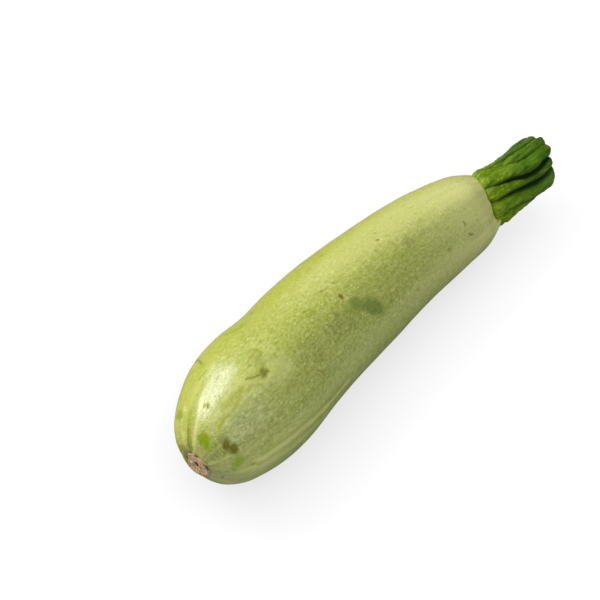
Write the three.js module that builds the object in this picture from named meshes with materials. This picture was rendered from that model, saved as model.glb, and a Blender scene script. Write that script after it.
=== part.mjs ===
// A pale green courgette lying on its side, as picked: the fruit, its ribbed stalk stub
// and the corky scar where the blossom dropped off.
// Millimetres, +Z up. +X runs along the fruit towards the stalk, and the fruit rests on z = 0.
import * as THREE from "three";

// The fruit. Stations are distances from the blossom end, measured along X.
const fruitLength = 165;
const fruitOutline = [
  [1.4, 6.0],
  [3.5, 10.7],
  [8.0, 15.6],
  [16.0, 19.8],
  [28.0, 23.0],
  [45.0, 23.7],
  [65.0, 22.2],
  [85.0, 21.8],
  [105.0, 20.5],
  [125.0, 19.1],
  [143.0, 17.3],
  [154.0, 15.5],
  [160.5, 13.0],
  [164.2, 10.9],
]; // [station, radius]
const jointRadius = 9.4; // where the shoulder turns into the flat joint with the stalk
const restSink = 0.25; // how deep the resting flat cuts into the round underside
const ribCount = 5;
const ribHeight = 0.009; // share of the radius, in the middle of the fruit
const endRibHeight = 0.028; // the same at both ends, where the ribs gather
const ribTurn = 0.5; // angle of the first rib, in radians
const lumpHeight = 0.007; // slow unevenness of the skin, share of the radius
const slowLumps = { round: 3, along: 9, swells: 7, from: 1 }; // waves round and along the fruit
const longLumps = { share: 0.6, round: 2, along: -14, from: 2 };

// The axis that the fruit and the stalk follow.
const axisSides = [
  [-20, -9.2],
  [0, -6.8],
  [45, -2.2],
  [85, 0],
  [125, -1.0],
  [165, -7.4],
  [205, -13.7],
]; // [station, distance to the side]
const axisHeights = [
  [-20, 24.6],
  [0, 24.7],
  [45, 23.3],
  [85, 21.55],
  [125, 19.3],
  [165, 18.5],
  [205, 20.5],
]; // [station, height above the table]

// The pit in the blossom end and the scar that sits in it.
const scarRadius = 5.0;
const scarThickness = 1.7;
const scarRimHeight = 0.4;
const scarHoleRadius = 0.9;
const scarHoleFloor = 0.45; // radius at the bottom of the hole
const scarHoleDepth = 0.9;
const scarFace = [
  [scarHoleRadius, 0.35],
  [2.3, 0.2],
  [3.8, 0.3],
  [4.3, scarRimHeight],
]; // [radius, depth below the rim's crest], from the hole to the rim
const scarRimDrop = 0.8; // from the rim's crest to its outer edge
const raggedFrom = 3.0; // the scar's outline is round inside this radius
const scarRagged = { five: 0.035, eleven: 0.02 }; // waves round its edge, share of the radius
const scarFit = 0.97; // share of its radius that the ragged scar keeps on average
const pitRadius = 5.4;
const pitDepth = 2.4;
const pitBlend = 4; // the ribs of the fruit grow over this distance outside the pit
const pieceGap = 0.3; // between two pieces that touch

// The stalk stub.
const stalkLength = 29.5;
const stalkOutline = [
  [0.0, 11.1],
  [3.0, 11.0],
  [9.0, 10.6],
  [16.0, 10.6],
  [22.5, 10.8],
  [26.2, 10.8],
  [28.4, 10.0],
  [29.3, 8.4],
]; // [distance from the fruit, radius over the ribs]
const grooveStations = [0, 5, 10, 15, 20, 25, 30]; // distances from the fruit
// Each groove: its angles at those distances, in degrees, its depth at the fruit and at the cut,
// and how far the rib after it reaches past the cut.
const stalkGrooves = [
  { angles: [22, 26, 30, 33, 35, 35, 33], atFruit: 0.6, atCut: 0.9, reach: 1.0 },
  { angles: [56, 58, 60, 62, 65, 65, 63], atFruit: 0.4, atCut: 0.75, reach: 1.4 },
  { angles: [60, 67, 78, 90, 95, 94, 92], atFruit: 0.0, atCut: 0.7, reach: 1.1 },
  { angles: [96, 106, 116, 129, 133, 128, 124], atFruit: 0.5, atCut: 1.2, reach: 1.0 },
  { angles: [133, 139, 146, 154, 158, 155, 149], atFruit: 0.55, atCut: 1.15, reach: 0.7 },
  { angles: [173, 177, 187, 199, 209, 206, 198], atFruit: 0.6, atCut: 1.0, reach: 0.2 },
  { angles: [212, 217, 226, 238, 246, 246, 240], atFruit: 0.6, atCut: 1.0, reach: -0.3 },
  { angles: [250, 255, 264, 275, 282, 283, 278], atFruit: 0.6, atCut: 1.0, reach: 0.2 },
  { angles: [287, 292, 301, 311, 317, 318, 313], atFruit: 0.6, atCut: 1.0, reach: -0.4 },
  { angles: [325, 330, 338, 347, 352, 352, 349], atFruit: 0.6, atCut: 1.0, reach: -0.1 },
];
const grooveDepth = 2.5; // of a full groove
const fullRibWidth = 34; // degrees; narrower ribs stand lower
const crestSharpness = 0.62; // below 1 the crests are flatter than the grooves
const coreRadius = 4; // the grooves and the rounding of the cut fade out inside this radius
const cutStart = 23; // the ribs' ends differ from here on
const cutFace = [
  [28.9, 6.2],
  [28.3, 3.4],
]; // [distance, radius]
const cutMiddle = 27.9; // the cut face has dried hollow

// How far three planes lean along the axis, for each mm across and for each mm up:
// the blossom end, the joint with the stalk and the stalk's cut.
const blossomLean = { across: 0.1, up: -0.05 };
const stalkLean = { across: 0.16, up: -0.2 };
const cutLean = { across: 0.3, up: 0.04 };
const blossomLeanSpan = { from: 2, until: 35 }; // where the blossom end's lean fades out
const jointLeanFrom = 125; // where the joint's lean starts
const blossomReach = { by: 0.9, until: 35 }; // the blossom end is drawn out by this much

// How finely each piece is divided.
const fruitSides = 60;
const fruitSteps = 44;
const stalkSides = 110;
const stalkSteps = 20;
const scarSides = 44;

// Smooth value of a [station, value] table at a station.
function along(table, station) {
  const last = table.length - 2;
  let i = 0;
  while (i < last && station > table[i + 1][0]) i += 1;
  const slopeAt = (k) => {
    const a = table[Math.max(k - 1, 0)];
    const b = table[Math.min(k + 1, table.length - 1)];
    return (b[1] - a[1]) / (b[0] - a[0]);
  };
  const [s0, v0] = table[i];
  const [s1, v1] = table[i + 1];
  const span = s1 - s0;
  const t = THREE.MathUtils.clamp((station - s0) / span, 0, 1);
  const rise = (3 - 2 * t) * t * t;
  const leave = t * (1 - t) * (1 - t) * slopeAt(i);
  const arrive = t * t * (1 - t) * slopeAt(i + 1);
  return v0 + (v1 - v0) * rise + span * (leave - arrive);
}

function axisPoint(station) {
  return new THREE.Vector3(station, along(axisSides, station), along(axisHeights, station));
}

// The three directions of the section at a station: along the axis, to the side, and up.
function axisFrame(station) {
  const ahead = axisPoint(station + 0.5).sub(axisPoint(station - 0.5)).normalize();
  const side = new THREE.Vector3(0, 0, 1).cross(ahead).normalize();
  const up = ahead.clone().cross(side);
  return { ahead, side, up };
}

// The lean of a section: that of the nearest plane, faded out towards the middle of the fruit.
function leanAt(station) {
  const { smoothstep } = THREE.MathUtils;
  const nearBlossom = 1 - smoothstep(station, blossomLeanSpan.from, blossomLeanSpan.until);
  const nearCut = smoothstep(station, fruitLength, fruitLength + stalkLength);
  const nearJoint = smoothstep(station, jointLeanFrom, fruitLength) - nearCut;
  const blend = (key) =>
    blossomLean[key] * nearBlossom + stalkLean[key] * nearJoint + cutLean[key] * nearCut;
  return { across: blend("across"), up: blend("up") };
}

// Puts a point of a straight body of revolution on the bent axis, with the fruit let down by restSink.
function ontoAxis(station, angle, radius) {
  const reach = blossomReach.by * (1 - THREE.MathUtils.smoothstep(station, 0, blossomReach.until));
  const { ahead, side, up } = axisFrame(station - reach);
  const lean = leanAt(station);
  const across = radius * Math.cos(angle);
  const height = radius * Math.sin(angle);
  const point = axisPoint(station - reach)
    .addScaledVector(side, across)
    .addScaledVector(up, height)
    .addScaledVector(ahead, lean.across * across + lean.up * height);
  point.z -= restSink;
  return point;
}

// Turns a profile about the Y axis, then moves every vertex to place(distance, angle, radius).
function turned(profile, sides, place) {
  const geometry = new THREE.LatheGeometry(profile, sides);
  const position = geometry.getAttribute("position");
  for (let i = 0; i < position.count; i += 1) {
    const x = position.getX(i);
    const z = position.getZ(i);
    const point = place(position.getY(i), Math.atan2(x, z), Math.hypot(x, z));
    position.setXYZ(i, point.x, point.y, point.z);
  }
  geometry.deleteAttribute("uv");
  geometry.computeVertexNormals();
  return geometry;
}

function outlinePoints(table, steps) {
  const curve = new THREE.SplineCurve(table.map(([s, r]) => new THREE.Vector2(r, s)));
  return curve.getSpacedPoints(steps);
}

// Ribs and unevenness of the fruit's section, as a factor on its radius.
function fruitSection(station, angle) {
  const share = station / fruitLength;
  const gather = Math.pow(Math.abs(2 * share - 1), 3);
  const rib = ribHeight + (endRibHeight - ribHeight) * gather;
  const slow =
    Math.sin(slowLumps.round * angle + slowLumps.along * share) *
    Math.sin(slowLumps.swells * share + slowLumps.from);
  const long = Math.sin(longLumps.round * angle + longLumps.along * share + longLumps.from);
  const lumps = slow + longLumps.share * long;
  return 1 + rib * Math.cos(ribCount * (angle - ribTurn)) + lumpHeight * lumps;
}

function fruitGeometry() {
  const profile = [
    new THREE.Vector2(0, pitDepth),
    new THREE.Vector2(pitRadius, pitDepth),
    ...outlinePoints(fruitOutline, fruitSteps),
    new THREE.Vector2(jointRadius, fruitLength),
    new THREE.Vector2(0, fruitLength),
  ];
  return turned(profile, fruitSides, (station, angle, radius) => {
    const skin = THREE.MathUtils.smoothstep(radius, pitRadius, pitRadius + pitBlend);
    const factor = 1 + skin * (fruitSection(station, angle) - 1);
    const point = ontoAxis(station, angle, radius * factor);
    point.z = Math.max(point.z, 0);
    return point;
  });
}

// The rib that a point of the stalk belongs to, and how far down its groove the point lies:
// 0 on the crest of a full rib, 1 in a full groove.
function ribAt(distance, angle) {
  const { degToRad, euclideanModulo, lerp, radToDeg, smoothstep } = THREE.MathUtils;
  const grown = smoothstep(distance / stalkLength, 0, 0.5);
  const grooves = stalkGrooves.map((groove) => ({
    at: along(grooveStations.map((station, k) => [station, groove.angles[k]]), distance),
    depth: lerp(groove.atFruit, groove.atCut, grown),
    reach: groove.reach,
  }));
  for (let k = 0; k < grooves.length; k += 1) {
    const next = grooves[(k + 1) % grooves.length];
    const width = euclideanModulo(next.at - grooves[k].at, 360);
    const share = euclideanModulo(radToDeg(angle) - grooves[k].at, 360) / width;
    if (share < 1) {
      const rise = Math.pow(Math.sin(degToRad(180 * share)), crestSharpness);
      const near = lerp(grooves[k].depth, next.depth, share);
      const down = near * (1 - Math.min(width / fullRibWidth, 1) * rise);
      return { down, reach: grooves[k].reach };
    }
  }
  return { down: 1, reach: 0 };
}

function stalkGeometry() {
  const profile = [
    new THREE.Vector2(0, 0),
    ...outlinePoints(stalkOutline, stalkSteps),
    ...cutFace.map(([distance, radius]) => new THREE.Vector2(radius, distance)),
    new THREE.Vector2(0, cutMiddle),
  ];
  return turned(profile, stalkSides, (distance, angle, radius) => {
    const { down, reach } = ribAt(distance, angle);
    const ribbed = THREE.MathUtils.smoothstep(radius, coreRadius, 2 * coreRadius);
    const nearCut = THREE.MathUtils.smoothstep(distance, cutStart, stalkLength) * ribbed;
    const onward = distance + nearCut * (reach * (1 - down) - down);
    return ontoAxis(fruitLength + pieceGap + onward, angle, radius - ribbed * down * grooveDepth);
  });
}

function scarGeometry() {
  const back = pitDepth - pieceGap;
  const face = back - scarThickness;
  const profile = [
    new THREE.Vector2(0, face + scarHoleDepth),
    new THREE.Vector2(scarHoleFloor, face + scarHoleDepth),
    ...scarFace.map(([radius, depth]) => new THREE.Vector2(radius, face + depth)),
    new THREE.Vector2(scarRadius, face + scarRimDrop),
    new THREE.Vector2(scarRadius, back),
    new THREE.Vector2(0, back),
  ];
  return turned(profile, scarSides, (station, angle, radius) => {
    const rim = THREE.MathUtils.smoothstep(radius, raggedFrom, scarRadius);
    const ragged = scarRagged.five * Math.sin(5 * angle + 1) + scarRagged.eleven * Math.sin(11 * angle);
    return ontoAxis(station, angle, radius * (scarFit + rim * ragged));
  });
}

function piece(name, geometry, material) {
  const mesh = new THREE.Mesh(geometry, new THREE.MeshStandardMaterial(material));
  mesh.name = name;
  return mesh;
}

const courgette = new THREE.Group();
courgette.add(
  piece("fruit", fruitGeometry(), { color: 0xb3bf6c, roughness: 0.42, metalness: 0 }),
  piece("stalk", stalkGeometry(), { color: 0x3f6a14, roughness: 0.5, metalness: 0 }),
  piece("blossom_scar", scarGeometry(), { color: 0xa5835a, roughness: 0.9, metalness: 0 }),
);

// The origin is the middle of the courgette's box, on the table.
const box = new THREE.Box3().setFromObject(courgette, true);
courgette.position.set(-(box.min.x + box.max.x) / 2, -(box.min.y + box.max.y) / 2, -box.min.z);

export default courgette;
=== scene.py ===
# A pale green courgette lying on a white surface: fine skin, ribbed stalk stub and blossom scar,
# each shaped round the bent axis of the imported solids. Shapes are worked out in millimetres.
import math

import bpy
import numpy as np
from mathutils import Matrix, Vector


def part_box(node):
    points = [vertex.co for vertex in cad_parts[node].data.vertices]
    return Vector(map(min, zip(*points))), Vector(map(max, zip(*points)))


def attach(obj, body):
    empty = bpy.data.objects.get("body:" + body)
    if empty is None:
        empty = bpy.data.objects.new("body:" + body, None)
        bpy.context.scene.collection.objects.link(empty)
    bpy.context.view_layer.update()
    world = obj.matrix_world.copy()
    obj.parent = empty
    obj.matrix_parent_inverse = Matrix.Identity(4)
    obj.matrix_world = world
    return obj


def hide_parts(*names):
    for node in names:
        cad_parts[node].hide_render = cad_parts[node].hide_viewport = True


print("Loading the frame")
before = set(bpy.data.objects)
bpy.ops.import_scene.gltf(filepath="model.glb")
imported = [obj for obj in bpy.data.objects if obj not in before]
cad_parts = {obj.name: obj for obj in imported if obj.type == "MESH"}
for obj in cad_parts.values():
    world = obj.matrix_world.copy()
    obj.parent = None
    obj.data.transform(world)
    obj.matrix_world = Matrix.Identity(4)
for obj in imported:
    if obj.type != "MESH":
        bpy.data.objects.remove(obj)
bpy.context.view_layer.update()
body = "root"
metresPerMm = 0.001

# The camera, as the courgette was photographed
camera = {
    "azimuth": -50.477,  # degrees; 0 looks along +Y
    "elevation": 50.0,
    "distance": 660.079,
    "target": (-19.08, 17.154, 20.0),
    "lens": 110,  # on a 36 mm sensor
}

# The axis that every piece follows: (station, value) pairs, stations from the blossom end
axis = {
    "sides": [(-20, -9.2), (0, -6.8), (45, -2.2), (85, 0), (125, -1.0), (165, -7.4), (205, -13.7)],
    "heights": [(-20, 24.6), (0, 24.7), (45, 23.3), (85, 21.55), (125, 19.3), (165, 18.5), (205, 20.5)],
    "blossomLean": (0.1, -0.05),  # across, up
    "blossomLeanSpan": (2, 35),  # the stations over which it fades
    "jointLean": (0.16, -0.2),
    "jointLeanFrom": 125,
    "cutLean": (0.3, 0.04),
    # the joint between fruit and stalk isn't quite flat: angle, spread in degrees, shift in mm
    "jointSwells": [(137, 46, -1.4), (48, 30, 1.1), (168, 22, -1.5)],
    "jointShift": {"steady": -1.6, "reach": 8},
    "blossomReach": {"by": 0.9, "until": 35},  # the blossom end is drawn out
    "fruitLength": 165,
    "stalkLength": 29.5,
    "restSink": 0.25,
}


def smoothStep(value, low, high):
    t = np.clip((value - low) / (high - low), 0, 1)
    return t * t * (3 - 2 * t)


def alongTable(table, station):
    # a smooth curve through the table, the same as the solids' own
    stations, values = np.array(table, float).T
    last = len(stations) - 1
    before = np.maximum(np.arange(last + 1) - 1, 0)
    after = np.minimum(np.arange(last + 1) + 1, last)
    slopes = (values[after] - values[before]) / (stations[after] - stations[before])
    i = np.clip(np.searchsorted(stations, station) - 1, 0, last - 1)
    span = stations[i + 1] - stations[i]
    t = np.clip((station - stations[i]) / span, 0, 1)
    rise = (3 - 2 * t) * t * t
    leave = t * (1 - t) ** 2 * slopes[i]
    arrive = t * t * (1 - t) * slopes[i + 1]
    return values[i] + (values[i + 1] - values[i]) * rise + span * (leave - arrive)


def axisPoint(station):
    sides = alongTable(axis["sides"], station)
    heights = alongTable(axis["heights"], station)
    return np.stack([station, sides, heights - axis["restSink"]], -1)


def unit(vectors):
    return vectors / np.linalg.norm(vectors, axis=-1, keepdims=True)


def leanAt(station):
    end = axis["fruitLength"]
    nearBlossom = 1 - smoothStep(station, *axis["blossomLeanSpan"])
    nearCut = smoothStep(station, end, end + axis["stalkLength"])
    nearJoint = smoothStep(station, axis["jointLeanFrom"], end) - nearCut
    leans = [axis["blossomLean"], axis["jointLean"], axis["cutLean"]]
    shares = [nearBlossom, nearJoint, nearCut]
    across = sum(lean[0] * share for lean, share in zip(leans, shares))
    up = sum(lean[1] * share for lean, share in zip(leans, shares))
    return across, up


def jointShift(station, angle):
    shift = axis["jointShift"]
    turned = (np.degrees(angle) + 180) % 360 - 180
    swells = sum(by * np.exp(-(((turned - at) / spread) ** 2)) for at, spread, by in axis["jointSwells"])
    near = np.exp(-(((station - axis["fruitLength"]) / shift["reach"]) ** 2))
    return (shift["steady"] + swells) * near


def ontoAxis(station, angle, radius):
    leanAcross, leanUp = leanAt(station)
    reach = axis["blossomReach"]
    drawnOut = reach["by"] * (1 - smoothStep(station, 0, reach["until"]))
    station = station + jointShift(station, angle) - drawnOut
    ahead = unit(axisPoint(station + 0.5) - axisPoint(station - 0.5))
    side = unit(np.cross([0.0, 0.0, 1.0], ahead))
    above = np.cross(ahead, side)
    across = radius * np.cos(angle)
    up = radius * np.sin(angle)
    shift = leanAcross * across + leanUp * up
    return axisPoint(station) + across[..., None] * side + up[..., None] * above + shift[..., None] * ahead


def splinePoints(table, count):
    # evenly spaced points on a smooth curve through (station, radius) pairs
    knots = np.array(table, float)
    last = len(knots) - 1
    steps = 4000
    where = np.linspace(0, last, steps)
    i = np.minimum(where.astype(int), last - 1)
    t = (where - i)[:, None]
    p0, p1, p2, p3 = (knots[np.clip(i + k, 0, last)] for k in (-1, 0, 1, 2))
    v1 = (p2 - p0) / 2
    v2 = (p3 - p1) / 2
    curve = (2 * p1 - 2 * p2 + v1 + v2) * t**3 + (3 * p2 - 3 * p1 - 2 * v1 - v2) * t**2 + v1 * t + p1
    walked = np.concatenate([[0], np.cumsum(np.linalg.norm(np.diff(curve, axis=0), axis=1))])
    even = np.linspace(0, walked[-1], count)
    return np.stack([np.interp(even, walked, curve[:, k]) for k in (0, 1)], 1)


def waves(points, length, seed):
    # a smooth random field, mostly between -1 and 1, with swells about as long as length
    rng = np.random.default_rng(seed)
    count = 14
    directions = unit(rng.normal(size=(count, 3)))
    speeds = 2 * math.pi / (length * rng.uniform(0.7, 1.5, count))
    phases = rng.uniform(0, 2 * math.pi, count)
    total = np.zeros(points.shape[:-1])
    for direction, speed, phase in zip(directions, speeds, phases):
        total += np.sin(points @ direction * speed + phase)
    return total / math.sqrt(2 * count)


def ringGrid(profile, columns):
    # station, angle and radius of every grid point, from the (station, radius) pairs of the rows
    turns = np.linspace(0, 2 * math.pi, columns, endpoint=False)
    station, angle = np.meshgrid(profile[:, 0], turns, indexing="ij")
    return station, angle, np.repeat(profile[:, 1:2], columns, 1)


def gridMesh(name, points):
    # rows of rings joined by quads, with a fan to a middle point at each end
    rows, columns = points.shape[:2]
    corners = points.reshape(-1, 3)
    ring = np.arange(columns)
    following = (ring + 1) % columns
    low = np.arange(rows - 1)[:, None] * columns
    quads = np.stack([low + ring, low + following, low + columns + following, low + columns + ring], -1)
    middle = np.full(columns, len(corners))
    lastRow = (rows - 1) * columns
    startFan = np.stack([following, ring, middle], 1)
    endFan = np.stack([lastRow + ring, lastRow + following, middle + 1], 1)
    faces = quads.reshape(-1, 4).tolist() + startFan.tolist() + endFan.tolist()
    allPoints = np.concatenate([corners, [points[0].mean(0), points[-1].mean(0)]]) * metresPerMm
    mesh = bpy.data.meshes.new(name)
    mesh.from_pydata(allPoints.tolist(), [], faces)
    mesh.polygons.foreach_set("use_smooth", [True] * len(mesh.polygons))
    mesh.update()
    piece = bpy.data.objects.new(name, mesh)
    bpy.context.scene.collection.objects.link(piece)
    return piece


def addAttributes(piece, **attributes):
    # one value or vector for each grid point; the fans' middle points take their ring's mean
    for name, values in attributes.items():
        flat = values.reshape(-1, values.shape[-1]) if values.ndim == 3 else values.reshape(-1, 1)
        middles = np.array([values[0].mean(0), values[-1].mean(0)])
        flat = np.concatenate([flat, middles.reshape(2, -1)])
        kind, key = ("FLOAT_VECTOR", "vector") if flat.shape[1] == 3 else ("FLOAT", "value")
        attribute = piece.data.attributes.new(name, kind, "POINT")
        attribute.data.foreach_set(key, flat.astype(np.float32).ravel())


def facingShare(angle, turn):
    # 1 on the side at this angle, 0 on the one across from it
    return 0.5 + 0.5 * np.cos(angle - math.radians(turn))


def dress(piece, material, node):
    piece.data.materials.append(material)
    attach(piece, body)
    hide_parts(node)


def placeFacing(item, aim, back, distance):
    # back points from what the item faces to the item
    item.location = aim + back * distance
    item.rotation_mode = "QUATERNION"
    item.rotation_quaternion = (-back).to_track_quat("-Z", "Y")
    bpy.context.scene.collection.objects.link(item)


print("Setting the camera")
azimuth = math.radians(camera["azimuth"])
elevation = math.radians(camera["elevation"])
level = math.cos(elevation)
back = Vector((math.sin(azimuth) * level, -math.cos(azimuth) * level, math.sin(elevation)))
cameraData = bpy.data.cameras.new("camera")
cameraData.lens = camera["lens"]
cameraData.sensor_width = 36
cameraData.clip_start = 0.05
cameraObject = bpy.data.objects.new("camera", cameraData)
target = Vector(camera["target"]) * metresPerMm
placeFacing(cameraObject, target, back, camera["distance"] * metresPerMm)
bpy.context.scene.camera = cameraObject

print("Building the shader groups")


def addNode(tree, kind, inputs=None, **settings):
    node = tree.nodes.new(kind)
    for key, value in settings.items():
        setattr(node, key, value)
    for key, value in (inputs or {}).items():
        if isinstance(value, bpy.types.NodeSocket):
            tree.links.new(value, node.inputs[key])
        else:
            node.inputs[key].default_value = value
    return node


def readAttribute(tree, name, output="Fac"):
    return addNode(tree, "ShaderNodeAttribute", attribute_name=name).outputs[output]


def mixColour(tree, factor, first, second):
    inputs = {0: factor, 6: first, 7: second}
    return addNode(tree, "ShaderNodeMix", inputs, data_type="RGBA").outputs[2]


def ramp(tree, value, low, high, atLow=0.0, atHigh=1.0):
    inputs = {0: value, 1: low, 2: high, 3: atLow, 4: atHigh}
    node = addNode(tree, "ShaderNodeMapRange", inputs, interpolation_type="SMOOTHSTEP")
    return node.outputs[0]


def scaled(tree, value, factor, added=0.0):
    node = addNode(tree, "ShaderNodeMath", {0: value, 1: factor, 2: added}, operation="MULTIPLY_ADD")
    return node.outputs[0]


def combined(tree, first, second, operation):
    return addNode(tree, "ShaderNodeMath", {0: first, 1: second}, operation=operation).outputs[0]


def times(tree, first, second):
    return combined(tree, first, second, "MULTIPLY")


def absolute(tree, value):
    return addNode(tree, "ShaderNodeMath", {0: value}, operation="ABSOLUTE").outputs[0]


def stretchedPoint(tree, point, factors):
    node = addNode(tree, "ShaderNodeVectorMath", {0: point, 1: factors}, operation="MULTIPLY")
    return node.outputs[0]


def newGroup(name, inputs, outputs):
    # a group that takes a point and named numbers, and puts out named numbers
    group = bpy.data.node_groups.new(name, "ShaderNodeTree")
    group.interface.new_socket(name="Point", in_out="INPUT", socket_type="NodeSocketVector")
    for label, value in inputs.items():
        socket = group.interface.new_socket(name=label, in_out="INPUT", socket_type="NodeSocketFloat")
        socket.default_value = value
    for label in outputs:
        group.interface.new_socket(name=label, in_out="OUTPUT", socket_type="NodeSocketFloat")
    start = group.nodes.new("NodeGroupInput")
    end = group.nodes.new("NodeGroupOutput")
    return group, start, end


def useGroup(tree, group, **inputs):
    named = {label.capitalize(): value for label, value in inputs.items()}
    return addNode(tree, "ShaderNodeGroup", named, node_tree=group)


def buildFlecks():
    # scattered light flecks, one in each cell, longer along the first axis of the point
    numbers = {"Spacing": 1.0, "Stretch": 1.6, "Size": 0.4}
    group, start, end = newGroup("flecks", numbers, ("Mask", "Tone"))
    density = combined(group, 1.0, start.outputs["Spacing"], "DIVIDE")
    squeezed = combined(group, 1.0, start.outputs["Stretch"], "DIVIDE")
    shape = addNode(group, "ShaderNodeCombineXYZ", {0: squeezed, 1: 1.0, 2: 1.0}).outputs[0]
    place = stretchedPoint(group, start.outputs["Point"], shape)
    inputs = {"Vector": place, "Scale": density, "Randomness": 0.9}
    cells = addNode(group, "ShaderNodeTexVoronoi", inputs, feature="F1")
    random = addNode(group, "ShaderNodeSeparateColor", {0: cells.outputs["Color"]})
    edge = scaled(group, random.outputs[0], start.outputs["Size"], 0.22)
    mask = ramp(group, cells.outputs["Distance"], edge, times(group, edge, 0.35))
    group.links.new(mask, end.inputs["Mask"])
    group.links.new(random.outputs[1], end.inputs["Tone"])
    return group


def buildMottle():
    # soft cloudy variation, 0 to 1
    numbers = {"Length": 10.0, "Detail": 3.0, "Contrast": 0.5}
    group, start, end = newGroup("mottle", numbers, ("Value",))
    density = combined(group, 1.0, start.outputs["Length"], "DIVIDE")
    inputs = {"Vector": start.outputs["Point"], "Scale": density, "Detail": start.outputs["Detail"]}
    clouds = addNode(group, "ShaderNodeTexNoise", {**inputs, "Roughness": 0.55}).outputs[0]
    low = scaled(group, start.outputs["Contrast"], -0.5, 0.5)
    high = scaled(group, start.outputs["Contrast"], 0.5, 0.5)
    group.links.new(ramp(group, clouds, low, high), end.inputs["Value"])
    return group


flecks = buildFlecks()
mottle = buildMottle()


def newMaterial(name):
    material = bpy.data.materials.new(name)
    material.use_nodes = True
    tree = material.node_tree
    shader = tree.nodes["Principled BSDF"]
    return material, tree, shader


def cloudy(tree, point, length, detail, contrast):
    return useGroup(tree, mottle, point=point, length=length, detail=detail, contrast=contrast).outputs[0]


def addBump(tree, shader, height, distance):
    bump = addNode(tree, "ShaderNodeBump", {"Height": height, "Strength": 1.0, "Distance": distance})
    tree.links.new(bump.outputs[0], shader.inputs["Normal"])


print("Shaping the fruit")

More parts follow.
